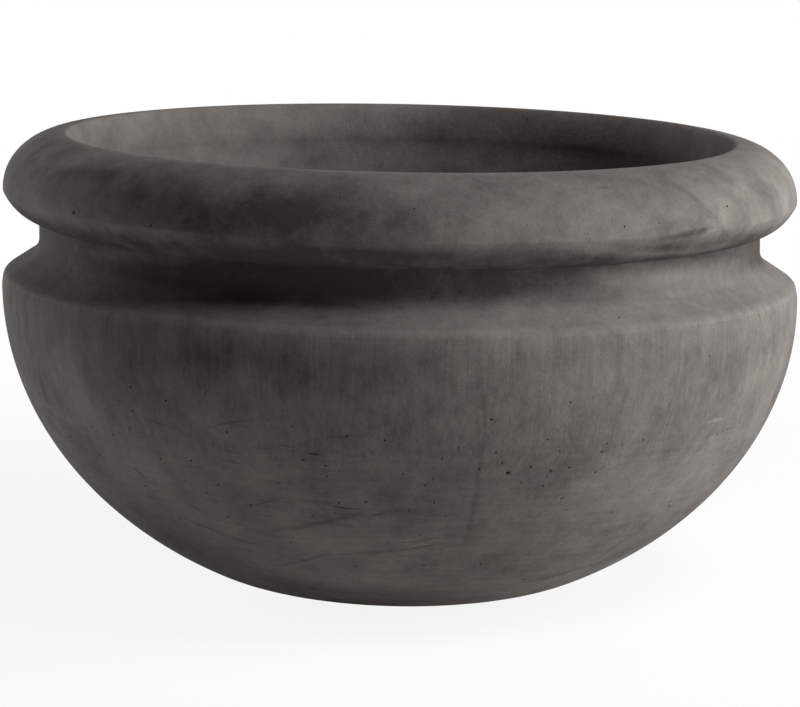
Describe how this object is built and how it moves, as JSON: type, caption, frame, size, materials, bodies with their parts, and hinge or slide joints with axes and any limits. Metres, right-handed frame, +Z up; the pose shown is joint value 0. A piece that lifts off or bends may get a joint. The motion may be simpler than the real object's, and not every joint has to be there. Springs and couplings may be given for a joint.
{
  "type": "concrete bowl planter",
  "caption": "Low, wide cast concrete bowl planter with a rounded belly, coved neck, heavy rolled rim and a sleeved drain hole in its floor.",
  "frame": {"origin": "centre of the foot's underside, on the ground", "axes": "+Z up along the bowl's axis of revolution; the bowl is round, so +X and +Y are any two level directions at a right angle, with the first rib bar on +X"},
  "size_m": [1.067, 1.067, 0.6037],
  "materials": {
    "cast_concrete": "matte",
    "drain_pipe": "satin",
    "reinforcing_steel": "matte"
  },
  "bodies": {
    "root": {"planter_casting": "cast_concrete", "drain_sleeve": "drain_pipe", "rib_bar_1": "reinforcing_steel", "rib_bar_2": "reinforcing_steel", "rib_bar_3": "reinforcing_steel", "rib_bar_4": "reinforcing_steel", "rib_bar_5": "reinforcing_steel", "rib_bar_6": "reinforcing_steel", "rib_bar_7": "reinforcing_steel", "rib_bar_8": "reinforcing_steel", "base_hoop": "reinforcing_steel", "lower_belly_hoop": "reinforcing_steel", "middle_belly_hoop": "reinforcing_steel", "upper_belly_hoop": "reinforcing_steel", "rim_hoop": "reinforcing_steel"}
  },
  "joints": []
}
